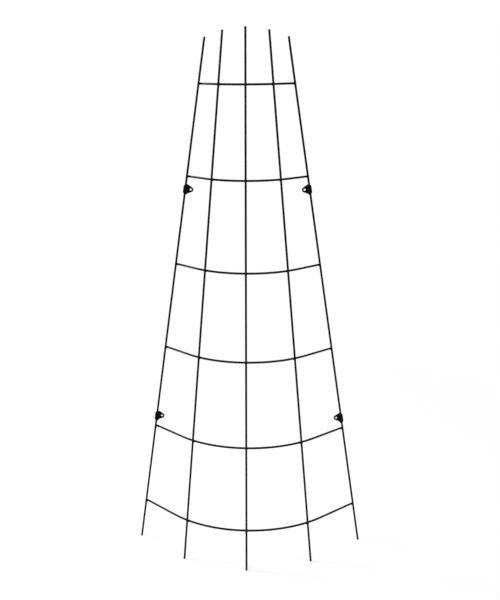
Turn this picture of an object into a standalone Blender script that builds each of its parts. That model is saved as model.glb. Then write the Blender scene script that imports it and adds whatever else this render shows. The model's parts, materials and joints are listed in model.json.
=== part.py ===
"""Bowed fan trellis of coated wire, with four plastic clips that screw it to a wall.

Five straight uprights spread downwards over part of a cone. Six bowed hoops are
welded to their inner side, and two clips snap round each outer upright.
Units are metres. +Z is up, the bowed front faces -Y and the wall is at +Y.
"""

import math

import bmesh
import bpy
from mathutils import Matrix, Vector

# Wire
WIRE_DIAMETER = 0.0048
WIRE_SIDES = 12
GAP = 0.0003  # left between pieces that touch on the real trellis
MERGE_DISTANCE = 0.000001  # closes the loose caps of a curve
SMOOTH_ANGLE = math.radians(40)  # edges sharper than this stay sharp

# Heights, from the ground that the feet stand on
HOOPS = ["top", "second", "third", "fourth", "fifth", "bottom"]
LOWEST_HOOP_HEIGHT = 0.096
HOOP_PITCH = 0.200
CENTRE_TOP_REACH = 0.1165  # the centre upright above the highest hoop
OUTER_TOP_REACH = 0.097  # the outer uprights above the highest hoop

# The bow: a centre arc with a straight tail on each side, smaller at each hoop
LOWEST_HALF_WIDTH = 0.254  # from the centre to an outer upright, at the lowest hoop
HIGHEST_HALF_WIDTH = 0.104  # the same, at the highest hoop
LOWEST_BEND_RADIUS = 0.265
TAIL_ANGLE = math.radians(42)  # between a tail and the wall
INNER_UPRIGHT_X = 0.142  # from the centre to an inner upright, at the lowest hoop
ARC_STEPS = 24
HOOP_OVERRUN = 0.001  # hoop end beyond its weld on the outer upright

# Welds: the bead that is pressed out round each crossing
BEAD_OVERHANG = 0.0011  # past the wire's radius
BEAD_THICKNESS = 0.0030
BEAD_SEGMENTS = 12
BEAD_RINGS = 6

# Clips, seen square on: x points from the wire to the screw, y along the wire
UPPER_CLIP_DROP = 0.028  # clip centre below the second hoop from the top
LOWER_CLIP_RISE = 0.027  # clip centre above the second hoop from the bottom
CLIP_WALL = 0.0020  # round the wire
CLIP_WALL_CLEARANCE = 0.0007  # between the hoops' ends and the house wall
CLIP_PLATE_THICKNESS = 0.0025
CLIP_SCREW_X = 0.0115  # from the wire's axis to the screw
CLIP_SCREW_HOLE_RADIUS = 0.0023
CLIP_NOSE_RADIUS = 0.0060
CLIP_EDGE_ANGLE = math.radians(27.5)  # between a long edge and the clip's middle line
CLIP_FLANK_LENGTH = 0.014  # straight outer edge, beside the wire
CLIP_CHAMFER_ANGLE = math.radians(46)
CLIP_SHOULDER_RADIUS = 0.002
CLIP_RAMP_END = 0.0068  # where the slope from the barrel meets the plate
CLIP_MOUTH_PINCH = 0.0008  # narrower than the wire, which snaps through it
CLIP_MOUTH_FLARE = 0.0010  # wider on each side at the wall
CLIP_LIP_LENGTH = 0.0012  # straight part of the mouth
CUTTER_MARGIN = 0.001
CORNER_STEPS = 4
NOSE_STEPS = 10
BORE_STEPS = 14
BARREL_STEPS = 9
HOLE_STEPS = 18

UPRIGHTS = {
    "outer_left": -LOWEST_HALF_WIDTH,
    "inner_left": -INNER_UPRIGHT_X,
    "centre": 0.0,
    "inner_right": INNER_UPRIGHT_X,
    "outer_right": LOWEST_HALF_WIDTH,
}

# Worked out from the values above
wire_radius = WIRE_DIAMETER / 2
hoop_inset = WIRE_DIAMETER + GAP
bead_radius = wire_radius + BEAD_OVERHANG
bore_radius = wire_radius + GAP
barrel_radius = bore_radius + CLIP_WALL
clip_apex_x = CLIP_SCREW_X + CLIP_NOSE_RADIUS / math.sin(CLIP_EDGE_ANGLE)  # where the long edges would meet
tail_slope = math.tan(TAIL_ANGLE)
highest_hoop_height = LOWEST_HOOP_HEIGHT + HOOP_PITCH * (len(HOOPS) - 1)
arc_half_width = LOWEST_BEND_RADIUS * math.sin(TAIL_ANGLE)
lowest_bow_depth = LOWEST_HALF_WIDTH * tail_slope - LOWEST_BEND_RADIUS * (1 / math.cos(TAIL_ANGLE) - 1)
side_slope = (LOWEST_HALF_WIDTH - HIGHEST_HALF_WIDTH) / (highest_hoop_height - LOWEST_HOOP_HEIGHT)
front_slope = side_slope * lowest_bow_depth / LOWEST_HALF_WIDTH
side_lean = math.atan(side_slope)
hoop_end_reach = (hoop_inset + wire_radius) * math.cos(TAIL_ANGLE) + HOOP_OVERRUN * math.sin(TAIL_ANGLE)
clip_standoff = hoop_end_reach + CLIP_WALL_CLEARANCE  # from the wire's axis to the house wall


def bow_scale(height):
    """Width of the bow at a height, as a share of its width at the lowest hoop."""
    return 1 - side_slope * (height - LOWEST_HOOP_HEIGHT) / LOWEST_HALF_WIDTH


# The depth runs from the clips' backs, on the wall, to the front of the centre foot
front_reach = lowest_bow_depth * bow_scale(0) + wire_radius * math.hypot(1, front_slope)
overall_depth = clip_standoff + front_reach
outer_upright_y = overall_depth / 2 - clip_standoff


def bow_depth(x):
    """How far the bow stands in front of the outer uprights at x, at the lowest hoop."""
    if abs(x) > arc_half_width:
        return (LOWEST_HALF_WIDTH - abs(x)) * tail_slope
    return lowest_bow_depth - LOWEST_BEND_RADIUS + math.sqrt(LOWEST_BEND_RADIUS ** 2 - x ** 2)


def upright_point(x, height):
    """A point on the axis of the upright that passes x at the lowest hoop."""
    scale = bow_scale(height)
    return Vector((x * scale, outer_upright_y - bow_depth(x) * scale, height))


def top_height(x):
    """Height of an upright's top: the tops follow a shallow arch."""
    arch_drop = (CENTRE_TOP_REACH - OUTER_TOP_REACH) * (x / LOWEST_HALF_WIDTH) ** 2
    return highest_hoop_height + CENTRE_TOP_REACH - arch_drop


def hoop_height(index):
    return highest_hoop_height - HOOP_PITCH * index


def hoop_points(height):
    """Axis of a hoop: the bow at its height, moved in by a wire's diameter."""
    scale = bow_scale(height)
    radius = LOWEST_BEND_RADIUS * scale - hoop_inset
    centre_y = outer_upright_y + (LOWEST_BEND_RADIUS - lowest_bow_depth) * scale
    arc_points = []
    for step in range(ARC_STEPS + 1):
        angle = TAIL_ANGLE * (2 * step / ARC_STEPS - 1)
        x = radius * math.sin(angle)
        arc_points.append(Vector((x, centre_y - radius * math.cos(angle), height)))
    along = Vector((math.cos(TAIL_ANGLE), math.sin(TAIL_ANGLE), 0))
    inwards = Vector((-math.sin(TAIL_ANGLE), math.cos(TAIL_ANGLE), 0))
    outer = Vector((LOWEST_HALF_WIDTH * scale, outer_upright_y, height))
    right_end = outer + inwards * hoop_inset + along * HOOP_OVERRUN
    left_end = Vector((-right_end.x, right_end.y, height))
    return [left_end] + arc_points + [right_end]


def clear_scene():
    for old in list(bpy.data.objects):
        bpy.data.objects.remove(old, do_unlink=True)


def add_collection(name):
    collection = bpy.data.collections.new(name)
    bpy.context.scene.collection.children.link(collection)
    return collection


def coat(name, colour, roughness, metallic):
    material = bpy.data.materials.new(name)
    material.use_nodes = True
    shader = material.node_tree.nodes["Principled BSDF"]
    shader.inputs["Base Color"].default_value = (*colour, 1)
    shader.inputs["Roughness"].default_value = roughness
    shader.inputs["Metallic"].default_value = metallic
    return material


def add_object(name, data, collection, material=None):
    new_object = bpy.data.objects.new(name, data)
    collection.objects.link(new_object)
    if material and not data.materials:
        data.materials.append(material)
    return new_object


def hide_cutter(cutter):
    cutter.hide_render = True
    cutter.display_type = "WIRE"
    return cutter


def as_mesh(source):
    """An object's final shape as a closed mesh in place, with the object removed."""
    bpy.context.view_layer.update()
    evaluated = source.evaluated_get(bpy.context.evaluated_depsgraph_get())
    mesh = bpy.data.meshes.new_from_object(evaluated)
    mesh.transform(source.matrix_world)
    bpy.data.objects.remove(source, do_unlink=True)
    shell = bmesh.new()
    shell.from_mesh(mesh)
    bmesh.ops.remove_doubles(shell, verts=shell.verts, dist=MERGE_DISTANCE)
    bmesh.ops.recalc_face_normals(shell, faces=shell.faces)
    shell.to_mesh(mesh)
    shell.free()
    return mesh


def bent_wire(points, radius):
    """A round wire along a line of points, as a closed mesh."""
    curve = bpy.data.curves.new("wire", "CURVE")
    curve.dimensions = "3D"
    curve.bevel_depth = radius
    curve.bevel_resolution = WIRE_SIDES // 2 - 2
    curve.use_fill_caps = True
    spline = curve.splines.new("POLY")
    spline.points.add(len(points) - 1)
    for spline_point, point in zip(spline.points, points):
        spline_point.co = (*point, 1)
    return as_mesh(add_object("wire", curve, bpy.context.scene.collection))


def add_level_wire(shell, foot, top, radius):
    """A straight wire from foot to top, cut square at the top and level at the foot."""
    axis = (top - foot).normalized()
    turn = Vector((0, 0, 1)).rotation_difference(axis).to_matrix().to_4x4()
    length = (top - foot).length
    place = Matrix.Translation(foot) @ turn @ Matrix.Translation((0, 0, length / 2))
    made = bmesh.ops.create_cone(
        shell, cap_ends=True, segments=WIRE_SIDES, radius1=radius, radius2=radius, depth=length, matrix=place
    )
    for vertex in made["verts"]:
        if (vertex.co - foot).dot(axis) < length / 2:
            vertex.co -= axis * ((vertex.co.z - foot.z) / axis.z)


def mesh_from(shell, name):
    mesh = bpy.data.meshes.new(name)
    shell.to_mesh(mesh)
    shell.free()
    return mesh


def shade_round(mesh):
    mesh.shade_smooth()
    mesh.set_sharp_from_angle(angle=SMOOTH_ANGLE)


def add_uprights(collection, material):
    for spot, x in UPRIGHTS.items():
        shell = bmesh.new()
        add_level_wire(shell, upright_point(x, 0), upright_point(x, top_height(x)), wire_radius)
        mesh = mesh_from(shell, "upright")
        shade_round(mesh)
        add_object("upright_" + spot, mesh, collection, material)


def add_hoops(collection, material):
    for index, level in enumerate(HOOPS):
        mesh = bent_wire(hoop_points(hoop_height(index)), wire_radius)
        shade_round(mesh)
        add_object("hoop_" + level, mesh, collection, material)


def bow_normal(x):
    """Direction square to the bow at x, pointing to its inner side."""
    if abs(x) > arc_half_width:
        angle = math.copysign(TAIL_ANGLE, x)
    else:
        angle = math.asin(x / LOWEST_BEND_RADIUS)
    return Vector((-math.sin(angle), math.cos(angle), 0))


def bead_mesh(x, height):
    """A flat ball between an upright and a hoop, before the wires are cut out of it."""
    normal = bow_normal(x)
    centre = upright_point(x, height) + normal * (hoop_inset / 2)
    turn = Vector((0, 0, 1)).rotation_difference(normal).to_matrix().to_4x4()
    flatten = Matrix.Diagonal((1, 1, BEAD_THICKNESS / (2 * bead_radius), 1))
    shell = bmesh.new()
    bmesh.ops.create_uvsphere(
        shell,
        u_segments=BEAD_SEGMENTS,
        v_segments=BEAD_RINGS,
        radius=bead_radius,
        matrix=Matrix.Translation(centre) @ turn @ flatten,
    )
    return mesh_from(shell, "bead")


def cut(target, cutter, operation="DIFFERENCE"):
    boolean = target.modifiers.new(cutter.name, "BOOLEAN")
    boolean.operation = operation
    boolean.solver = "EXACT"
    boolean.object = cutter


def add_welds(collection, cutters, material):
    """A bead at each crossing, cut clear of the two wires that it joins."""
    cut_radius = wire_radius + GAP
    shell = bmesh.new()
    for x in UPRIGHTS.values():
        add_level_wire(shell, upright_point(x, 0), upright_point(x, top_height(x)), cut_radius)
    upright_cutter = hide_cutter(add_object("upright_cutter", mesh_from(shell, "upright_cutter"), cutters))
    for index, level in enumerate(HOOPS):
        height = hoop_height(index)
        points = hoop_points(height)
        for end, neighbour in ((0, 1), (-1, -2)):
            points[end] = points[end] + (points[end] - points[neighbour]).normalized() * GAP
        hoop_cutter = hide_cutter(add_object(f"hoop_{level}_cutter", bent_wire(points, cut_radius), cutters))
        for spot, x in UPRIGHTS.items():
            weld = add_object(f"weld_{level}_{spot}", bead_mesh(x, height), collection, material)
            cut(weld, upright_cutter)
            cut(weld, hoop_cutter)


def arc(centre_x, centre_y, radius, start, end, steps):
    points = []
    for step in range(steps + 1):
        angle = start + (end - start) * step / steps
        points.append((centre_x + radius * math.cos(angle), centre_y + radius * math.sin(angle)))
    return points


def flat_solid(outlines, low, high):
    """A solid with the given outlines, the later ones as holes, from z low to z high."""
    curve = bpy.data.curves.new("outline", "CURVE")
    curve.dimensions = "2D"
    curve.fill_mode = "BOTH"
    curve.extrude = (high - low) / 2
    for outline in outlines:
        spline = curve.splines.new("POLY")
        spline.points.add(len(outline) - 1)
        spline.use_cyclic_u = True
        for spline_point, (x, y) in zip(spline.points, outline):
            spline_point.co = (x, y, 0, 1)
    flat = add_object("outline", curve, bpy.context.scene.collection)
    flat.location.z = (low + high) / 2
    return as_mesh(flat)


def clip_plan():
    """Outline of a clip seen square on, with its screw hole."""
    edge_slope = math.tan(CLIP_EDGE_ANGLE)
    chamfer_slope = math.tan(CLIP_CHAMFER_ANGLE)
    flank_half = CLIP_FLANK_LENGTH / 2
    # The long edge and the chamfer, both moved in by the shoulder's radius, meet at its centre
    edge_height = clip_apex_x * edge_slope - CLIP_SHOULDER_RADIUS / math.cos(CLIP_EDGE_ANGLE)
    chamfer_height = flank_half + barrel_radius * chamfer_slope
    chamfer_height -= CLIP_SHOULDER_RADIUS / math.cos(CLIP_CHAMFER_ANGLE)
    shoulder_x = (edge_height - chamfer_height) / (edge_slope + chamfer_slope)
    shoulder_y = edge_height - shoulder_x * edge_slope
    edge_normal = math.radians(90) - CLIP_EDGE_ANGLE
    chamfer_normal = math.radians(90) + CLIP_CHAMFER_ANGLE
    upper = arc(CLIP_SCREW_X, 0, CLIP_NOSE_RADIUS, 0, edge_normal, NOSE_STEPS // 2)
    upper += arc(shoulder_x, shoulder_y, CLIP_SHOULDER_RADIUS, edge_normal, chamfer_normal, CORNER_STEPS)
    upper.append((-barrel_radius - CUTTER_MARGIN, flank_half - CUTTER_MARGIN * chamfer_slope))
    lower = [(x, -y) for x, y in reversed(upper[1:])]
    hole = arc(CLIP_SCREW_X, 0, CLIP_SCREW_HOLE_RADIUS, 0, math.tau, HOLE_STEPS)[:-1]
    return [upper + lower, hole]


def clip_section():
    """Outline of a clip cut square to the wire: a barrel with a mouth, a slope and a plate."""
    throat_half = (WIRE_DIAMETER - CLIP_MOUTH_PINCH) / 2
    mouth_half = throat_half + CLIP_MOUTH_FLARE
    plate_front = CLIP_PLATE_THICKNESS - clip_standoff
    plate_end = CLIP_SCREW_X + CLIP_NOSE_RADIUS + CUTTER_MARGIN
    # The slope touches the barrel and ends on the plate's front
    reach = math.hypot(CLIP_RAMP_END, plate_front)
    slope_normal = math.atan2(plate_front, CLIP_RAMP_END) + math.acos(barrel_radius / reach)
    throat_angle = math.asin(throat_half / bore_radius)
    lip_y = -bore_radius * math.cos(throat_angle)
    down = math.radians(-90)
    outline = [(-mouth_half, -clip_standoff), (-barrel_radius, -clip_standoff)]
    outline += arc(0, 0, barrel_radius, math.pi, slope_normal, BARREL_STEPS)
    outline += [(CLIP_RAMP_END, plate_front), (plate_end, plate_front), (plate_end, -clip_standoff)]
    outline += [(mouth_half, -clip_standoff), (throat_half, lip_y - CLIP_LIP_LENGTH)]
    outline += arc(0, 0, bore_radius, down + throat_angle, down + math.tau - throat_angle, BORE_STEPS)
    outline.append((-throat_half, lip_y - CLIP_LIP_LENGTH))
    return [outline]


def clip_mesh(collection, cutters, material):
    """A clip: its section run along the wire, trimmed to its plan."""
    half_length = (clip_apex_x + barrel_radius) * math.tan(CLIP_EDGE_ANGLE)
    body = flat_solid(clip_section(), -half_length, half_length)
    body.transform(Matrix.Rotation(math.radians(90), 4, "X"))
    plan = flat_solid(clip_plan(), -clip_standoff - CUTTER_MARGIN, barrel_radius + CUTTER_MARGIN)
    trim = hide_cutter(add_object("clip_plan_cutter", plan, cutters))
    clip = add_object("clip", body, collection, material)
    cut(clip, trim, "INTERSECT")
    mesh = as_mesh(clip)
    bpy.data.objects.remove(trim, do_unlink=True)
    return mesh


def add_clips(collection, cutters, material):
    mesh = clip_mesh(collection, cutters, material)
    shade_round(mesh)
    heights = {
        "upper": hoop_height(1) - UPPER_CLIP_DROP,
        "lower": hoop_height(len(HOOPS) - 2) + LOWER_CLIP_RISE,
    }
    # The left clips lean with their wire; the right ones are the same clip turned over
    sides = {"left": (-LOWEST_HALF_WIDTH, side_lean), "right": (LOWEST_HALF_WIDTH, math.pi - side_lean)}
    for level, height in heights.items():
        for side, (x, turn) in sides.items():
            clip = add_object(f"wall_clip_{level}_{side}", mesh, collection, material)
            clip.location = upright_point(x, height)
            clip.rotation_euler = (math.radians(90), turn, 0)


def main():
    clear_scene()
    trellis = add_collection("fan_trellis")
    cutters = add_collection("cutters")
    coated_wire = coat("coated_wire", (0.018, 0.018, 0.019), 0.38, 0.0)
    clip_plastic = coat("clip_plastic", (0.012, 0.012, 0.012), 0.5, 0.0)
    add_uprights(trellis, coated_wire)
    add_hoops(trellis, coated_wire)
    add_welds(trellis, cutters, coated_wire)
    add_clips(trellis, cutters, clip_plastic)


main()
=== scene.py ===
# %% [markdown]
# # Dressing a bowed fan trellis of coated wire
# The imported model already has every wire, weld and clip of this wall trellis in its place, as plain
# solids. This lesson builds the surfaces that a camera should see: round wires with softly coated
# ends, welds that have run into both wires, and moulded clips. The model is loaded first, as a fixed
# frame. Everything is in metres: Z is up, the bow faces -Y, and the house wall would be at +Y.

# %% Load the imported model
import json
import math

import bmesh
import bpy
from mathutils import Euler, Matrix, Vector


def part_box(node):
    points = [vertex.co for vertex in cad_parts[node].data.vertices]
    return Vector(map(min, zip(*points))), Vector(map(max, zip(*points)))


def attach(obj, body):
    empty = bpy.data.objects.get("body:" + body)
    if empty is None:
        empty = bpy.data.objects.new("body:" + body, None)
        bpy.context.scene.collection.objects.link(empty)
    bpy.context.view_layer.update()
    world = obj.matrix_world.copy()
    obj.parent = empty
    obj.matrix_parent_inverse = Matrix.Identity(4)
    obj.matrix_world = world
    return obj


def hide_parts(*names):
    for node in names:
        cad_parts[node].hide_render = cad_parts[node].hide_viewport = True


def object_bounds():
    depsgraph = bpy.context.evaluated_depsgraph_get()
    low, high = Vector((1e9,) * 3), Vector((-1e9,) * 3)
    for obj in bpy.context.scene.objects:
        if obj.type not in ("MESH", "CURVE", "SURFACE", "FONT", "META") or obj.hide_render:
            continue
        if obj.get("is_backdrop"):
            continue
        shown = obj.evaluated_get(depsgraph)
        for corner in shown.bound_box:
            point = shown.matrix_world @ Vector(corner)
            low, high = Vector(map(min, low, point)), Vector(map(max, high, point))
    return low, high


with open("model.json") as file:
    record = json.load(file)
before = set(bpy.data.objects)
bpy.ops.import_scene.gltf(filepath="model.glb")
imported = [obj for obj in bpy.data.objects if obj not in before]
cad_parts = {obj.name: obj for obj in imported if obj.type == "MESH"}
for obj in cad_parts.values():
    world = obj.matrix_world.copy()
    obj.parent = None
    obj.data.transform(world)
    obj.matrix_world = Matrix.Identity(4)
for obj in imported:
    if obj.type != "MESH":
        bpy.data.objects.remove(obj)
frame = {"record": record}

cad_low, cad_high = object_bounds()
MILLIMETRES = 1000  # in a metre


def in_millimetres(lengths):
    """Lengths as they are printed, to a tenth of a millimetre."""
    return [round(MILLIMETRES * length, 1) for length in lengths]


print("size in millimetres:", in_millimetres(cad_high - cad_low))

# %% [markdown]
# ## The camera
# The photograph was taken from about two metres away and a little to the right, with the camera
# level with the top of the trellis and tipped down. Its place and its angles were found by matching
# wire crossings. A camera looks along its own -Z, so it is tipped about X first and then turned
# about Z.

# %% Place the camera
CAMERA_PLACE = (0.0923, -1.8772, 1.1645)
CAMERA_TILT = math.radians(15.803)  # down from level
CAMERA_TURN = math.radians(2.575)  # to the left
CAMERA_ROLL = math.radians(-0.286)
CAMERA_LENS = 52.93  # millimetres, for the usual 36 mm sensor
RIGHT_ANGLE = math.radians(90)

camera = bpy.data.objects.new("camera", bpy.data.cameras.new("camera"))
bpy.context.scene.collection.objects.link(camera)
tipped = Matrix.Rotation(RIGHT_ANGLE - CAMERA_TILT, 3, "X")
turned = Matrix.Rotation(CAMERA_TURN, 3, "Z") @ tipped @ Matrix.Rotation(CAMERA_ROLL, 3, "Z")
camera.location = CAMERA_PLACE
camera.rotation_euler = turned.to_euler()
camera.data.lens = CAMERA_LENS
bpy.context.scene.camera = camera
print("camera at", CAMERA_PLACE)

# %% [markdown]
# ## The shape of the bow
# Seen from above, each hoop is an arc with a straight tail on both sides, like a wire that was bent
# round a drum. All hoops have the same shape, and only their size shrinks towards the top. So one
# scale for each height is enough to place every wire.

# %% Measures of the bow
HOOPS = ["top", "second", "third", "fourth", "fifth", "bottom"]
LOWEST_HOOP_HEIGHT = 0.096
HOOP_PITCH = 0.200
CENTRE_TOP_REACH = 0.1165  # the centre upright above the highest hoop
OUTER_TOP_REACH = 0.097  # the outer uprights above the highest hoop
LOWEST_HALF_WIDTH = 0.254  # from the centre to an outer upright, at the lowest hoop
HIGHEST_HALF_WIDTH = 0.104
INNER_UPRIGHT_X = 0.142
LOWEST_BEND_RADIUS = 0.265
TAIL_ANGLE = math.radians(42)  # between a tail and the wall
UPRIGHTS = {
    "outer_left": -LOWEST_HALF_WIDTH,
    "inner_left": -INNER_UPRIGHT_X,
    "centre": 0.0,
    "inner_right": INNER_UPRIGHT_X,
    "outer_right": LOWEST_HALF_WIDTH,
}

highest_hoop_height = LOWEST_HOOP_HEIGHT + HOOP_PITCH * (len(HOOPS) - 1)
arc_half_width = LOWEST_BEND_RADIUS * math.sin(TAIL_ANGLE)
lowest_bow_depth = LOWEST_HALF_WIDTH * math.tan(TAIL_ANGLE)
lowest_bow_depth -= LOWEST_BEND_RADIUS * (1 / math.cos(TAIL_ANGLE) - 1)
side_slope = (LOWEST_HALF_WIDTH - HIGHEST_HALF_WIDTH) / (highest_hoop_height - LOWEST_HOOP_HEIGHT)
outer_low, outer_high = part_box("upright_outer_left")
outer_upright_y = (outer_low.y + outer_high.y) / 2


def bow_scale(height):
    """Width of the bow at a height, as a share of its width at the lowest hoop."""
    return 1 - side_slope * (height - LOWEST_HOOP_HEIGHT) / LOWEST_HALF_WIDTH


def bow_depth(x):
    """How far the bow stands in front of the outer uprights at x, at the lowest hoop."""
    if abs(x) > arc_half_width:
        return (LOWEST_HALF_WIDTH - abs(x)) * math.tan(TAIL_ANGLE)
    return lowest_bow_depth - LOWEST_BEND_RADIUS + math.sqrt(LOWEST_BEND_RADIUS ** 2 - x ** 2)


def upright_point(x, height):
    """A point on the axis of the upright that passes x at the lowest hoop."""
    scale = bow_scale(height)
    return Vector((x * scale, outer_upright_y - bow_depth(x) * scale, height))


print("bow depth at the lowest hoop, in millimetres:", in_millimetres([lowest_bow_depth]))

# %% [markdown]
# ## Working with operators
# Modelling by script follows the same steps as modelling by hand: add a primitive, go into edit mode,
# select, and run an operator on what is selected. Operators act on everything that is selected, so
# each piece starts by deselecting the rest. A primitive's place is baked into its mesh at once, so
# every place below is a place in the world. Edges and faces are picked by the plane they lie on.

# %% Helpers for modelling
SMOOTH_ANGLE = math.radians(35)  # edges sharper than this stay sharp
MERGE_DISTANCE = 0.000002
PLANE_TOLERANCE = 0.0001  # what is this close to a plane lies on it


def start_piece(name, add_primitive, **settings):
    """Adds a primitive, names it and opens it in edit mode."""
    bpy.ops.object.select_all(action="DESELECT")
    add_primitive(**settings)
    piece = bpy.context.object
    piece.name = name
    bpy.ops.object.transform_apply(location=True, rotation=True, scale=True)
    bpy.ops.object.mode_set(mode="EDIT")
    return piece


def lies_on(part, planes):
    """Whether an edge or a face lies wholly on one of the planes, each a point and a normal."""
    for point, normal in planes:
        if all(abs((vertex.co - point).dot(normal)) < PLANE_TOLERANCE for vertex in part.verts):
            return True
    return False


def pick(piece, kind, planes):
    """Selects the edges or faces that lie on the planes, and nothing else."""
    bpy.ops.mesh.select_mode(type={"edges": "EDGE", "faces": "FACE"}[kind])
    bpy.ops.mesh.select_all(action="DESELECT")
    shell = bmesh.from_edit_mesh(piece.data)
    for part in getattr(shell, kind):
        if lies_on(part, planes):
            part.select_set(True)
    bmesh.update_edit_mesh(piece.data)


def extrude(offset):
    """Pulls what is selected along the offset."""
    bpy.ops.mesh.extrude_region_move(TRANSFORM_OT_translate={"value": offset})


def close_piece(piece):
    """Merges doubles, turns the faces outwards and leaves edit mode."""
    bpy.ops.mesh.select_mode(type="VERT")
    bpy.ops.mesh.select_all(action="SELECT")
    bpy.ops.mesh.remove_doubles(threshold=MERGE_DISTANCE)
    bpy.ops.mesh.normals_make_consistent(inside=False)
    bpy.ops.object.mode_set(mode="OBJECT")
    bpy.ops.object.shade_smooth_by_angle(angle=SMOOTH_ANGLE)
    return piece


print("modelling helpers ready")

# %% [markdown]
# ## Handing a piece over
# A finished piece takes the place of one plain solid. It moves with the same body. The box of the
# piece is compared with the box of the solid, because a piece that has drifted by a millimetre would
# be hard to see and wrong in every pose.

# %% Helpers for handing over


def report_fit(piece, node):
    """Prints how far the piece's box is from the box of the solid that it stands for."""
    low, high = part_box(node)
    gaps = []
    for axis in range(3):
        places = [corner[axis] for corner in piece.bound_box]
        gaps += [abs(min(places) - low[axis]), abs(max(places) - high[axis])]
    furthest = MILLIMETRES * max(gaps)
    print(f"{piece.name}: {len(piece.data.polygons)} faces, {furthest:.2f} mm from {node}")


def stand_for(piece, node):
    """The piece takes the place of the solid, on the body that the solid belongs to."""
    for body, body_nodes in frame["record"]["behaviour"]["bodies"].items():
        if node in body_nodes:
            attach(piece, body)
    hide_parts(node)
    report_fit(piece, node)


print("pieces can be handed over")

# %% [markdown]
# ## The uprights
# The uprights are straight lengths of steel wire, sheared off and then coated. A sheared end has a
# small rim that the coat rounds over. A cylinder would do for the length, but its feet have to be
# level with the ground while the wire leans. So each wire starts as a disc a little under the ground,
# is extruded along its own axis, and is then cut level with a bisect before its rims are rounded.

# %% Make the five uprights
WIRE_RADIUS = 0.0024
WIRE_SIDES = 24
CUT_ALLOWANCE = 0.010  # extra wire under the ground, which the level cut removes
RIM_ROUNDING = 0.0006
RIM_STEPS = 3
UP = Vector((0, 0, 1))


def round_rims(wire, planes):
    """Rounds the rims of a wire's ends, each end given as a plane."""
    pick(wire, "edges", planes)
    bpy.ops.mesh.bevel(offset=RIM_ROUNDING, segments=RIM_STEPS, affect="EDGES")


def top_height(x):
    """The uprights' tops follow a shallow arch."""
    arch_drop = (CENTRE_TOP_REACH - OUTER_TOP_REACH) * (x / LOWEST_HALF_WIDTH) ** 2
    return highest_hoop_height + CENTRE_TOP_REACH - arch_drop


def straight_wire(name, foot, top):
    """A wire that is cut level at its foot and square at its top."""
    axis = (top - foot).normalized()
    wire = start_piece(
        name,
        bpy.ops.mesh.primitive_circle_add,
        vertices=WIRE_SIDES,
        radius=WIRE_RADIUS,
        fill_type="NGON",
        location=foot - axis * CUT_ALLOWANCE,
        rotation=axis.to_track_quat("Z", "Y").to_euler(),
    )
    extrude(axis * CUT_ALLOWANCE + top - foot)
    bpy.ops.mesh.select_all(action="SELECT")
    bpy.ops.mesh.bisect(plane_co=foot, plane_no=UP, clear_inner=True, use_fill=True)
    round_rims(wire, [(foot, UP), (top, axis)])
    return close_piece(wire)


wires = []
for spot, x in UPRIGHTS.items():
    foot = upright_point(x, 0)
    upright = straight_wire("coated_upright_" + spot, foot, upright_point(x, top_height(x)))
    stand_for(upright, "upright_" + spot)
    wires.append(upright)

# %% [markdown]
# ## The hoops
# A hoop is one wire, bent round a drum and left straight at both ends. The spin operator does what
# the bending machine does: it carries the wire's round section about the drum's axis. The two tails
# are then extruded from the open ends, and the ends are closed. The hoops lie against the inner side
# of the uprights, so their bend is smaller than the bow by one wire.

# %% Make the six hoops
HOOP_GAP = 0.0003  # between a hoop and an upright, filled by the weld
HOOP_OVERRUN = 0.001  # hoop end beyond its weld on the outer upright
BEND_STEPS = 48
ANY_HOLE = 0  # fill a hole with any number of sides

hoop_inset = 2 * WIRE_RADIUS + HOOP_GAP
tail_along = Vector((math.cos(TAIL_ANGLE), math.sin(TAIL_ANGLE), 0))  # the right tail, outwards
tail_inwards = Vector((-math.sin(TAIL_ANGLE), math.cos(TAIL_ANGLE), 0))


def mirrored(place):
    """The same place on the other side of the trellis."""
    return Vector((-place.x, place.y, place.z))


def hoop_height(index):
    """Hoops are counted from the top."""
    return highest_hoop_height - HOOP_PITCH * index


def bent_wire(name, height):
    """A hoop at a height: its arc first, then its two tails."""
    scale = bow_scale(height)
    drum = Vector((0, outer_upright_y + (LOWEST_BEND_RADIUS - lowest_bow_depth) * scale, height))
    right_bend = drum - tail_inwards * (LOWEST_BEND_RADIUS * scale - hoop_inset)
    right_crossing = Vector((LOWEST_HALF_WIDTH * scale, outer_upright_y, height))
    right_end = right_crossing + tail_inwards * hoop_inset + tail_along * HOOP_OVERRUN
    left_bend, left_end, left_along = mirrored(right_bend), mirrored(right_end), mirrored(tail_along)
    hoop = start_piece(
        name,
        bpy.ops.mesh.primitive_circle_add,
        vertices=WIRE_SIDES,
        radius=WIRE_RADIUS,
        location=left_bend,
        rotation=left_along.to_track_quat("Z", "Y").to_euler(),
    )
    bpy.ops.mesh.spin(steps=BEND_STEPS, angle=-2 * TAIL_ANGLE, center=drum, axis=UP)
    pick(hoop, "edges", [(left_bend, left_along)])
    extrude(left_end - left_bend)
    pick(hoop, "edges", [(right_bend, tail_along)])
    extrude(right_end - right_bend)
    bpy.ops.mesh.select_all(action="SELECT")
    bpy.ops.mesh.fill_holes(sides=ANY_HOLE)
    round_rims(hoop, [(left_end, left_along), (right_end, tail_along)])
    return close_piece(hoop)


for index, level in enumerate(HOOPS):
    hoop = bent_wire("coated_hoop_" + level, hoop_height(index))
    stand_for(hoop, "hoop_" + level)
    wires.append(hoop)

# %% [markdown]
# ## The welds
# Where two wires cross they are pressed together while a current melts them, and a little metal
# comes out round the joint. The coat then fills the corners. A ball alone would meet the wires in
# a hard line, so three balls are joined, one flat between the wires and one drawn out along each,
# and a voxel remesh with smoothing melts them into one skin. At the outer uprights the hoop ends
# inside its weld, so those welds have a shorter third ball.

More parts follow.
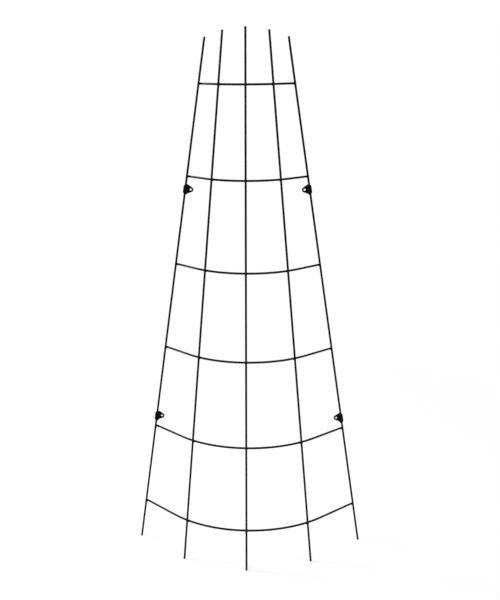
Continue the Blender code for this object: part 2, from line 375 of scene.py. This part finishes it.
# %% Model one weld of each kind
BEAD_RADIUS = 0.0035
BEAD_HALF_THICKNESS = 0.0017
SKIN = 0.00018  # how far the melted skin stands over a wire, before it is smoothed
SKIN_REACH = 0.0100  # half length of the skin along a wire
END_SKIN_REACH = 0.0032
END_SKIN_SHIFT = 0.0011  # towards the middle of the hoop
WELD_VOXEL = 0.00022
WELD_SMOOTHING_STEPS = 8
WELD_SMOOTHING_PULL = 0.5  # how far a step moves a point towards its neighbours
WELD_FACE_SHARE = 0.35  # of the remeshed faces, kept in the end
BALL_SEGMENTS = 32
BALL_RINGS = 16


def use_modifier(piece, kind, **settings):
    """Adds a modifier and applies it at once."""
    bpy.context.view_layer.objects.active = piece
    modifier = piece.modifiers.new(kind.lower(), kind)
    for setting, value in settings.items():
        setattr(modifier, setting, value)
    bpy.ops.object.modifier_apply(modifier=modifier.name)


def ball(place, radii):
    """Settings of a ball with its own radius along each axis."""
    detail = {"segments": BALL_SEGMENTS, "ring_count": BALL_RINGS}
    return {**detail, "radius": 1, "location": place, "scale": radii}


def melted_weld(name, hoop_reach, hoop_shift):
    """A weld in its own frame: X along the hoop, Y along the upright, Z from upright to hoop."""
    skin_radius = WIRE_RADIUS + SKIN
    bead_radii = (BEAD_RADIUS, BEAD_RADIUS, BEAD_HALF_THICKNESS)
    add_ball = bpy.ops.mesh.primitive_uv_sphere_add
    weld = start_piece(name, add_ball, **ball((0, 0, 0), bead_radii))
    add_ball(**ball((0, 0, -hoop_inset / 2), (skin_radius, SKIN_REACH, skin_radius)))
    add_ball(**ball((-hoop_shift, 0, hoop_inset / 2), (hoop_reach, skin_radius, skin_radius)))
    bpy.ops.object.mode_set(mode="OBJECT")
    use_modifier(weld, "REMESH", mode="VOXEL", voxel_size=WELD_VOXEL)
    use_modifier(weld, "SMOOTH", factor=WELD_SMOOTHING_PULL, iterations=WELD_SMOOTHING_STEPS)
    use_modifier(weld, "DECIMATE", ratio=WELD_FACE_SHARE)
    bpy.ops.object.mode_set(mode="EDIT")
    print(name, "has", len(weld.data.polygons), "faces")
    return close_piece(weld)


crossing_weld = melted_weld("crossing_weld", SKIN_REACH, 0)
end_weld = melted_weld("end_weld", END_SKIN_REACH, END_SKIN_SHIFT)

# %% [markdown]
# ## Placing the thirty welds
# Each crossing gets its own copy. A copy is placed with a matrix whose columns are the directions of
# its hoop, its upright and the line between them, so the skin follows both wires also where they
# don't cross at a right angle. The end weld is modelled for the right side, and turned half round for
# the left one. Every second weld in between is turned half round too, so that they don't look
# stamped.

# %% Copy the welds to the crossings


def own_copy(name, pattern, place):
    """A copy of a piece with its own mesh, which holds the copy's place."""
    copy = bpy.data.objects.new(name, pattern.data.copy())
    bpy.context.scene.collection.objects.link(copy)
    copy.data.transform(place)
    return copy


def hoop_direction(x):
    """Direction of the hoops where they cross the upright at x, pointing right."""
    if abs(x) > arc_half_width:
        return Vector((tail_along.x, math.copysign(tail_along.y, x), 0))
    return Vector((math.sqrt(LOWEST_BEND_RADIUS ** 2 - x ** 2), x, 0)).normalized()


def weld_place(x, height):
    """Matrix from a weld's own frame to its crossing."""
    along_hoop = hoop_direction(x)
    between = UP.cross(along_hoop)
    along_upright = (upright_point(x, height + 1) - upright_point(x, height)).normalized()
    if x < -arc_half_width:
        along_hoop = -along_hoop
        along_upright = -along_upright
    place = Matrix((along_hoop, along_upright, between)).transposed().to_4x4()
    place.translation = upright_point(x, height) + between * hoop_inset / 2
    return place


half_turn = Matrix.Rotation(math.pi, 4, "Z")
welds = []
for level_index, level in enumerate(HOOPS):
    for spot_index, (spot, x) in enumerate(UPRIGHTS.items()):
        place = weld_place(x, hoop_height(level_index))
        pattern = crossing_weld
        if abs(x) > arc_half_width:
            pattern = end_weld
        elif (level_index + spot_index) % 2:
            place = place @ half_turn
        weld = own_copy(f"fused_weld_{level}_{spot}", pattern, place)
        stand_for(weld, f"weld_{level}_{spot}")
        welds.append(weld)
for pattern in (crossing_weld, end_weld):
    bpy.data.objects.remove(pattern)

# %% [markdown]
# ## The outline of a wall clip
# Each clip is one moulding: a barrel that snaps round the upright, a flat plate with a screw hole,
# and a slope that joins them. It is modelled lying down: X points from the wire to the screw, Y runs
# along the wire and Z points away from the wall. Seen square on, it is a round nose, two round
# shoulders and a flat flank, with straight edges between them.

# %% Measures of a clip
CLIP_WALL = 0.0020  # round the wire
CLIP_PLATE_THICKNESS = 0.0025
CLIP_SCREW_X = 0.0115
CLIP_SCREW_HOLE_RADIUS = 0.0023
CLIP_NOSE_RADIUS = 0.0060
CLIP_EDGE_ANGLE = math.radians(27.5)  # between a long edge and the clip's middle line
CLIP_FLANK_LENGTH = 0.014
CLIP_CHAMFER_ANGLE = math.radians(46)
CLIP_SHOULDER_RADIUS = 0.002
CLIP_RAMP_END = 0.0068  # where the slope meets the plate
CLIP_THROAT_HALF = 0.0020  # narrower than the wire, which snaps through it
CLIP_MOUTH_HALF = 0.0030
CLIP_LIP_LENGTH = 0.0012
CLIP_BLANK_LENGTH = 0.030  # longer than the clip, before the plan trims it
CUTTER_MARGIN = 0.001  # how far a cutter, or what is cut, reaches past the clip
ROUND_SIDES = 48
ALONG_THE_WIRE = (RIGHT_ANGLE, 0, 0)  # lays an upright cylinder down along Y

bore_radius = WIRE_RADIUS + HOOP_GAP
barrel_radius = bore_radius + CLIP_WALL
clip_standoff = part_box("wall_clip_upper_left")[1].y - outer_upright_y  # from the wire to the wall


def shoulder_centre():
    """The long edge and the chamfer, both moved in by the shoulder's radius, meet here."""
    edge_slope, chamfer_slope = math.tan(CLIP_EDGE_ANGLE), math.tan(CLIP_CHAMFER_ANGLE)
    edge_height = CLIP_SCREW_X * edge_slope + CLIP_NOSE_RADIUS / math.cos(CLIP_EDGE_ANGLE)
    edge_height -= CLIP_SHOULDER_RADIUS / math.cos(CLIP_EDGE_ANGLE)
    chamfer_height = CLIP_FLANK_LENGTH / 2 + barrel_radius * chamfer_slope
    chamfer_height -= CLIP_SHOULDER_RADIUS / math.cos(CLIP_CHAMFER_ANGLE)
    x = (edge_height - chamfer_height) / (edge_slope + chamfer_slope)
    return x, edge_height - x * edge_slope


print("wire to wall, in millimetres:", in_millimetres([clip_standoff]))
print("shoulder centre, in millimetres:", in_millimetres(shoulder_centre()))

# %% [markdown]
# ## The body of a clip
# Both views of the clip are a rubber band stretched round a few pins, and that is what the convex
# hull operator draws. The first band is the side view, run along the wire: a barrel and a foot. The
# second is the plan: nose, shoulders and flank. The clip is where the two overlap, which keeps every
# curve exact. Shaping one block by hand would need many small moves for the same form.

# %% Stretch the bands and overlap them
FLAT_ANGLE = math.radians(0.5)  # faces that meet at less than this become one


def add_box(low, high):
    """A box between two corners, added to the mesh that is being edited."""
    low, high = Vector(low), Vector(high)
    bpy.ops.mesh.primitive_cube_add(size=1, location=(low + high) / 2, scale=high - low)


def pin(x, y, radius, low, high):
    """Settings of an upright pin."""
    place = (x, y, (low + high) / 2)
    return {"vertices": ROUND_SIDES, "radius": radius, "depth": high - low, "location": place}


def stretch_band():
    """Wraps all that is in the mesh in a convex hull, with flat parts as single faces."""
    bpy.ops.mesh.select_all(action="SELECT")
    bpy.ops.mesh.convex_hull()
    bpy.ops.mesh.select_all(action="SELECT")
    bpy.ops.mesh.dissolve_limited(angle_limit=FLAT_ANGLE)


def clip_side_view():
    """Barrel, slope and plate, run along the wire."""
    blank = start_piece(
        "clip",
        bpy.ops.mesh.primitive_cylinder_add,
        vertices=ROUND_SIDES,
        radius=barrel_radius,
        depth=CLIP_BLANK_LENGTH,
        rotation=ALONG_THE_WIRE,
    )
    half = CLIP_BLANK_LENGTH / 2
    plate_front = CLIP_PLATE_THICKNESS - clip_standoff
    add_box((-barrel_radius, -half, -clip_standoff), (CLIP_RAMP_END, half, plate_front))
    stretch_band()
    pick(blank, "faces", [(Vector((CLIP_RAMP_END, 0, 0)), Vector((1, 0, 0)))])
    extrude((CLIP_SCREW_X + CLIP_NOSE_RADIUS + CUTTER_MARGIN - CLIP_RAMP_END, 0, 0))
    return close_piece(blank)


def clip_plan():
    """Nose, shoulders and flank, as tall as the clip."""
    low, high = -clip_standoff - CUTTER_MARGIN, barrel_radius + CUTTER_MARGIN
    add_pin = bpy.ops.mesh.primitive_cylinder_add
    plan = start_piece("clip_plan", add_pin, **pin(CLIP_SCREW_X, 0, CLIP_NOSE_RADIUS, low, high))
    shoulder_x, shoulder_y = shoulder_centre()
    for side in (-1, 1):
        add_pin(**pin(shoulder_x, side * shoulder_y, CLIP_SHOULDER_RADIUS, low, high))
    flank_half = CLIP_FLANK_LENGTH / 2 - CUTTER_MARGIN * math.tan(CLIP_CHAMFER_ANGLE)
    add_box((-barrel_radius - CUTTER_MARGIN, -flank_half, low), (-barrel_radius, flank_half, high))
    stretch_band()
    return close_piece(plan)


def carve(piece, cutter, operation="DIFFERENCE"):
    """Cuts a piece with another, which is used up."""
    bpy.ops.object.select_all(action="DESELECT")
    use_modifier(piece, "BOOLEAN", object=cutter, operation=operation, solver="EXACT")
    bpy.data.objects.remove(cutter)


clip = clip_side_view()
carve(clip, clip_plan(), "INTERSECT")
print("the clip's body has", len(clip.data.polygons), "faces")

# %% [markdown]
# ## The openings of a clip
# The wire lies in a bore, and it got there through a mouth in the back: a throat that is narrower
# than the wire, and a funnel that spreads the two lips when the clip is pushed on. A screw goes
# through the plate. A moulding has no sharp edges, so all of them are rounded at the end, when the
# cuts have made them. The cuts also leave corners that almost touch, and a rounded edge would fold
# over there, so those are merged before and after. Weighted normals then keep the flat faces flat in
# their shading.

# %% Cut the bore, the mouth and the screw hole
CLIP_ROUNDING = 0.00035
CLIP_ROUNDING_STEPS = 3
CLIP_MERGE = 0.00012  # corners closer than this become one


def round_cutter(name, radius, **place):
    """A cylinder that reaches out of the clip at both ends."""
    cutter = start_piece(
        name,
        bpy.ops.mesh.primitive_cylinder_add,
        vertices=ROUND_SIDES,
        radius=radius,
        depth=CLIP_BLANK_LENGTH,
        **place,
    )
    return close_piece(cutter)


def mouth_cutter():
    """A slot that widens towards the wall."""
    throat_high = -math.sqrt(bore_radius ** 2 - CLIP_THROAT_HALF ** 2)
    throat_low = throat_high - CLIP_LIP_LENGTH
    mouth = start_piece(
        "clip_mouth",
        bpy.ops.mesh.primitive_cube_add,
        size=1,
        location=(0, 0, throat_low / 2),
        scale=(2 * CLIP_THROAT_HALF, CLIP_BLANK_LENGTH, -throat_low),
    )
    pick(mouth, "faces", [(Vector((0, 0, throat_low)), UP)])
    extrude((0, 0, -clip_standoff - throat_low))
    widening = CLIP_MOUTH_HALF / CLIP_THROAT_HALF
    bpy.ops.transform.resize(value=(widening, 1, 1), center_override=(0, 0, 0))
    extrude((0, 0, -CUTTER_MARGIN))
    return close_piece(mouth)


carve(clip, round_cutter("clip_bore", bore_radius, rotation=ALONG_THE_WIRE))
carve(clip, mouth_cutter())
carve(clip, round_cutter("clip_screw_hole", CLIP_SCREW_HOLE_RADIUS, location=(CLIP_SCREW_X, 0, 0)))
use_modifier(clip, "WELD", merge_threshold=CLIP_MERGE)
use_modifier(
    clip,
    "BEVEL",
    width=CLIP_ROUNDING,
    segments=CLIP_ROUNDING_STEPS,
    limit_method="ANGLE",
    angle_limit=SMOOTH_ANGLE,
    use_clamp_overlap=False,
)
use_modifier(clip, "WELD", merge_threshold=CLIP_MERGE)
clip.select_set(True)
bpy.ops.object.shade_smooth_by_angle(angle=SMOOTH_ANGLE)
use_modifier(clip, "WEIGHTED_NORMAL", keep_sharp=True)
print("one clip has", len(clip.data.polygons), "faces")

# %% [markdown]
# ## The four clips
# Two clips sit under the second hoop from the top and two over the second hoop from the bottom, on
# the outer uprights, with their plates towards the middle. A clip lies along its leaning upright and
# flat to the wall, so it is stood up and then turned by the upright's lean.

# %% Put a clip on each place
UPPER_CLIP_DROP = 0.028  # clip centre below the second hoop from the top
LOWER_CLIP_RISE = 0.027  # clip centre above the second hoop from the bottom

side_lean = math.atan(side_slope)
clip_heights = {
    "upper": hoop_height(1) - UPPER_CLIP_DROP,
    "lower": hoop_height(len(HOOPS) - 2) + LOWER_CLIP_RISE,
}
clip_sides = {
    "left": (-LOWEST_HALF_WIDTH, side_lean),
    "right": (LOWEST_HALF_WIDTH, math.pi - side_lean),
}
clips = []
for level, height in clip_heights.items():
    for side, (x, turn) in clip_sides.items():
        place = Euler((RIGHT_ANGLE, turn, 0)).to_matrix().to_4x4()
        place.translation = upright_point(x, height)
        copy = own_copy(f"moulded_clip_{level}_{side}", clip, place)
        stand_for(copy, f"wall_clip_{level}_{side}")
        clips.append(copy)
bpy.data.objects.remove(clip)

# %% [markdown]
# ## Materials as sums
# A material is a small calculation on each point of a surface. Writing it as Python expressions keeps
# it readable: a wrapped socket can be added and multiplied like a number, and each sum adds a Math
# node behind it. Any other node comes from one method, which takes its settings first and then what
# goes into its sockets.

# %% The wrapper for shader sums


def socket_in_use(sockets, name=None):
    """The first socket in use that has the name, or the first one in use where no name is given."""
    return next(socket for socket in sockets if socket.enabled and name in (None, socket.name))


class Shade:
    """A socket of a material's nodes that takes part in Python sums."""

    def __init__(self, tree, socket=None):
        self.tree = tree
        self.socket = socket

    def plug(self, socket, value):
        """Links a Shade into a socket, or sets a plain value on it."""
        if isinstance(value, Shade):
            self.tree.links.new(value.socket, socket)
        else:
            socket.default_value = value

    def node(self, kind, settings=None, output=None, **inputs):
        """Adds any node, its settings before its sockets, and returns its first or named output."""
        made = self.tree.nodes.new(kind)
        for setting, value in (settings or {}).items():
            setattr(made, setting, value)
        for name, value in inputs.items():
            self.plug(socket_in_use(made.inputs, name.replace("_", " ")), value)
        return Shade(self.tree, socket_in_use(made.outputs, output))

    def maths(self, operation, first, second):
        """Adds a Math node on two values."""
        made = self.tree.nodes.new("ShaderNodeMath")
        made.operation = operation
        for socket, value in zip(made.inputs, (first, second)):
            self.plug(socket, value)
        return Shade(self.tree, made.outputs["Value"])

    def __add__(self, other):
        return self.maths("ADD", self, other)

    def __mul__(self, other):
        return self.maths("MULTIPLY", self, other)

    def __sub__(self, other):
        return self.maths("SUBTRACT", self, other)

    def __rsub__(self, other):
        return self.maths("SUBTRACT", other, self)

    __radd__ = __add__
    __rmul__ = __mul__

    def limited(self):
        """The same value, kept between 0 and 1."""
        return self.maths("MINIMUM", self.maths("MAXIMUM", self, 0.0), 1.0)


print("shader sums ready")

# %% [markdown]
# ## Patterns for the finishes
# Coats and mouldings are even from a step away, and uneven in small ways from near by. A few layers
# of noise, each at the size of something real, give that. The noise reads the piece's own
# coordinates, so it stays put when the piece moves.

# %% Helpers for finishes
SOFT_DETAIL = 1.0  # octaves of finer noise over the basic one
PLAIN_DETAIL = 2.0
FULL_STRENGTH = 1.0


def new_material(name):
    """An empty material, as its principled shader and a Shade to start expressions from."""
    material = bpy.data.materials.new(name)
    material.use_nodes = True
    return material, material.node_tree.nodes["Principled BSDF"], Shade(material.node_tree)


def piece_place(start):
    """The point's own coordinates on the piece."""
    return start.node("ShaderNodeTexCoord", output="Object")


def grain(start, cells_per_metre, detail=PLAIN_DETAIL):
    """Noise fixed to the piece, from 0 to 1."""
    place = piece_place(start)
    return start.node("ShaderNodeTexNoise", Vector=place, Scale=cells_per_metre, Detail=detail)


def blend(share, first, second):
    """A colour between two colours."""
    opaque_pair = {"A": (*first, 1), "B": (*second, 1)}
    return share.node("ShaderNodeMix", {"data_type": "RGBA"}, Factor=share, **opaque_pair)


def relief(height, depth):
    """Small bumps, as deep as the depth where the height goes from 0 to 1."""
    return height.node("ShaderNodeBump", Height=height, Distance=depth, Strength=FULL_STRENGTH)


def feed(shader, **links):
    """Links expressions to the sockets of the principled shader."""
    for name, value in links.items():
        value.plug(shader.inputs[name.replace("_", " ")], value)


def coat_pieces(pieces, material):
    """Gives every piece the material as its only one."""
    for piece in pieces:
        piece.data.materials.clear()
        piece.data.materials.append(material)
    print(material.name, "on", len(pieces), "pieces")


print("finish helpers ready")

# %% [markdown]
# ## The coat of the wires
# The steel is powder coated in a deep black with a satin sheen. Powder melts into a skin with faint
# lumps, like the peel of an orange, about a millimetre apart. Handling rubs it dull in patches, and
# some dust clings to it. The welds carry the same coat, but it has pooled there, so their lumps are
# wider and deeper. The colour stays close to black everywhere, and most of the change is in the
# gloss, because that is what the eye catches on a black wire.

# %% Coat the wires and the welds
COAT_BLACK = (0.0012, 0.0012, 0.0013)
COAT_WORN = (0.0045, 0.0045, 0.0047)
COAT_SHEEN = 0.08
PATCHES_PER_METRE = 45
PATCH_SHARE = 0.4  # shares of the coat's dullness
DUST_PER_METRE = 5200
DUST_SHARE = 0.3
DUST_HEIGHT = 0.15  # as a share of a lump's height
RUBS_PER_METRE = 210
RUB_SHARE = 0.3
RUB_DETAIL = 3.0
RUB_THRESHOLD = 0.56
RUB_CONTRAST = 7.0
WIRE_COAT = {
    "smoothest": 0.18,  # roughness of the coat where it is glossiest
    "roughest": 0.34,
    "lumps_per_metre": 900,
    "lump_height": 0.000050,
}
WELD_COAT = {
    "smoothest": 0.16,
    "roughest": 0.30,
    "lumps_per_metre": 520,
    "lump_height": 0.000120,
}


def powder_coat(name, smoothest, roughest, lumps_per_metre, lump_height):
    """A black coat with its own range of roughness and size of lumps."""
    material, shader, start = new_material(name)
    patches = grain(start, PATCHES_PER_METRE)
    dust = grain(start, DUST_PER_METRE, detail=SOFT_DETAIL)
    lumps = grain(start, lumps_per_metre)
    handled = grain(start, RUBS_PER_METRE, detail=RUB_DETAIL)
    rubbed = ((handled - RUB_THRESHOLD) * RUB_CONTRAST).limited()
    dullness = (patches * PATCH_SHARE + dust * DUST_SHARE + rubbed * RUB_SHARE).limited()
    feed(
        shader,
        Base_Color=blend(dullness, COAT_BLACK, COAT_WORN),
        Roughness=smoothest + (roughest - smoothest) * dullness,
        Normal=relief(lumps + dust * DUST_HEIGHT, lump_height),
    )
    shader.inputs["Specular IOR Level"].default_value = COAT_SHEEN
    return material


coat_pieces(wires, powder_coat("satin_wire_coat", **WIRE_COAT))
coat_pieces(welds, powder_coat("pooled_weld_coat", **WELD_COAT))

# %% [markdown]
# ## The plastic of the clips
# The clips are moulded in black plastic. The melt leaves wide, faint flow marks, and the mould was
# spark eroded, which prints a fine even grain on the plastic and makes it less shiny than the wires.

# %% Give the clips their plastic
PLASTIC_BLACK = (0.0008, 0.0008, 0.0009)
PLASTIC_PALE = (0.0028, 0.0028, 0.0030)
PLASTIC_SHEEN = 0.04
PLASTIC_ROUGHNESS = 0.38
PLASTIC_ROUGHNESS_RANGE = 0.20
FLOW_MARKS_PER_METRE = 160
FLOW_SHARE = 0.5  # of the change in roughness
FLOW_HEIGHT = 0.5  # as a share of the mould grain's height
MOULD_GRAINS_PER_METRE = 3800
MOULD_GRAIN_DEPTH = 0.000015


def moulded_plastic(name):
    """Black plastic with flow marks and mould grain."""
    material, shader, start = new_material(name)
    flow = grain(start, FLOW_MARKS_PER_METRE)
    sparks = grain(start, MOULD_GRAINS_PER_METRE, detail=SOFT_DETAIL)
    dullness = flow * FLOW_SHARE + sparks * (1 - FLOW_SHARE)
    feed(
        shader,
        Base_Color=blend(flow, PLASTIC_BLACK, PLASTIC_PALE),
        Roughness=PLASTIC_ROUGHNESS + PLASTIC_ROUGHNESS_RANGE * dullness,
        Normal=relief(sparks + flow * FLOW_HEIGHT, MOULD_GRAIN_DEPTH),
    )
    shader.inputs["Specular IOR Level"].default_value = PLASTIC_SHEEN
    return material


coat_pieces(clips, moulded_plastic("moulded_clip_plastic"))

# %% [markdown]
# ## The white surroundings
# The photograph has a plain white ground. Only the camera and reflections see that white: the light
# that the surroundings give stays at a plain level, so that colours come out about as written.

# %% Make the surroundings
WORLD_LEVEL = 0.70
WHITE = (1, 1, 1, 1)

bpy.context.scene.view_settings.view_transform = "Standard"
world = bpy.data.worlds.new("white_ground")
bpy.context.scene.world = world
world.use_nodes = True


def seen_directly(start):
    """1 where the camera, a reflection or clear material looks, and 0 for light that only spreads."""
    rays = start.tree.nodes.new("ShaderNodeLightPath")
    camera_ray = Shade(start.tree, rays.outputs["Is Camera Ray"])
    glossy_ray = Shade(start.tree, rays.outputs["Is Glossy Ray"])
    clear_ray = Shade(start.tree, rays.outputs["Is Transmission Ray"])
    return (camera_ray + glossy_ray + clear_ray).limited()


background = world.node_tree.nodes["Background"]
background.inputs["Color"].default_value = WHITE
world_start = Shade(world.node_tree)
world_start.plug(
    background.inputs["Strength"], WORLD_LEVEL + (1 - WORLD_LEVEL) * seen_directly(world_start)
)
print("surroundings at", WORLD_LEVEL)

# %% [markdown]
# ## The floor
# The floor is a pale disc under the feet. It keeps the soft shadow of the wires close by, and fades
# into the white ground further out, so that no edge and no horizon shows.

# %% Lay the floor
FLOOR_RADIUS = 3.0
FLOOR_SIDES = 96
FLOOR_PALE = (0.9, 0.9, 0.9, 1)
FLOOR_ROUGHNESS = 0.9
FLOOR_SHEEN = 0.0
FADE_START = 0.5  # metres from the middle
FADE_END = 1.6
LEAST_GLOW = 0.5  # the share of white at the middle, where the shadow shows

floor = start_piece(
    "floor",
    bpy.ops.mesh.primitive_circle_add,
    vertices=FLOOR_SIDES,
    radius=FLOOR_RADIUS,
    fill_type="NGON",
)
bpy.ops.object.mode_set(mode="OBJECT")
floor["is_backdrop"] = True
floor_material, floor_shader, floor_start = new_material("pale_floor")
floor_shader.inputs["Base Color"].default_value = FLOOR_PALE
floor_shader.inputs["Roughness"].default_value = FLOOR_ROUGHNESS
floor_shader.inputs["Specular IOR Level"].default_value = FLOOR_SHEEN
floor_place = piece_place(floor_start)
distance = floor_start.node("ShaderNodeVectorMath", {"operation": "LENGTH"}, Vector=floor_place)
fade = floor_start.node(
    "ShaderNodeMapRange",
    Value=distance,
    From_Min=FADE_START,
    From_Max=FADE_END,
    To_Min=LEAST_GLOW,
    To_Max=FULL_STRENGTH,
)
shaded = Shade(floor_start.tree, floor_shader.outputs["BSDF"])
glow = floor_start.node("ShaderNodeEmission", Color=WHITE, Strength=FULL_STRENGTH)
mix = floor_start.tree.nodes.new("ShaderNodeMixShader")
for socket, value in zip(mix.inputs, (fade * seen_directly(floor_start), shaded, glow)):
    floor_start.plug(socket, value)
floor_output = floor_start.tree.nodes["Material Output"]
floor_start.plug(floor_output.inputs["Surface"], Shade(floor_start.tree, mix.outputs["Shader"]))
coat_pieces([floor], floor_material)

# %% [markdown]
# ## The lamps
# A wide softbox hangs overhead. A narrow one stands at the left, at the height where the straight
# left ends of the hoops mirror it towards the camera: there the black wires turn light, as in the
# photograph, while the uprights stay black.

# %% Set up the lamps


def softbox(name, place, target, width, height, power):
    """A rectangular lamp that faces its target, in metres and watts."""
    lamp_data = bpy.data.lights.new(name, "AREA")
    lamp_data.shape = "RECTANGLE"
    lamp_data.size = width
    lamp_data.size_y = height
    lamp_data.energy = power
    lamp = bpy.data.objects.new(name, lamp_data)
    bpy.context.scene.collection.objects.link(lamp)
    lamp.location = place
    lamp.rotation_euler = (Vector(place) - Vector(target)).to_track_quat("Z", "Y").to_euler()
    print(name, "at", place)


softbox(
    "left_softbox",
    place=(-1.9, 0.41, 1.65),
    target=(0, 0, 0.6),
    width=0.35,
    height=0.8,
    power=30,
)
softbox(
    "overhead_softbox",
    place=(0, -0.4, 3.2),
    target=(0, 0, 0),
    width=3.0,
    height=3.0,
    power=35,
)

# %% [markdown]
# ## Last checks
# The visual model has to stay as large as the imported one.

# %% Compare the sizes and finish
visual_low, visual_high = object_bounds()
print("visual size in millimetres:", in_millimetres(visual_high - visual_low))
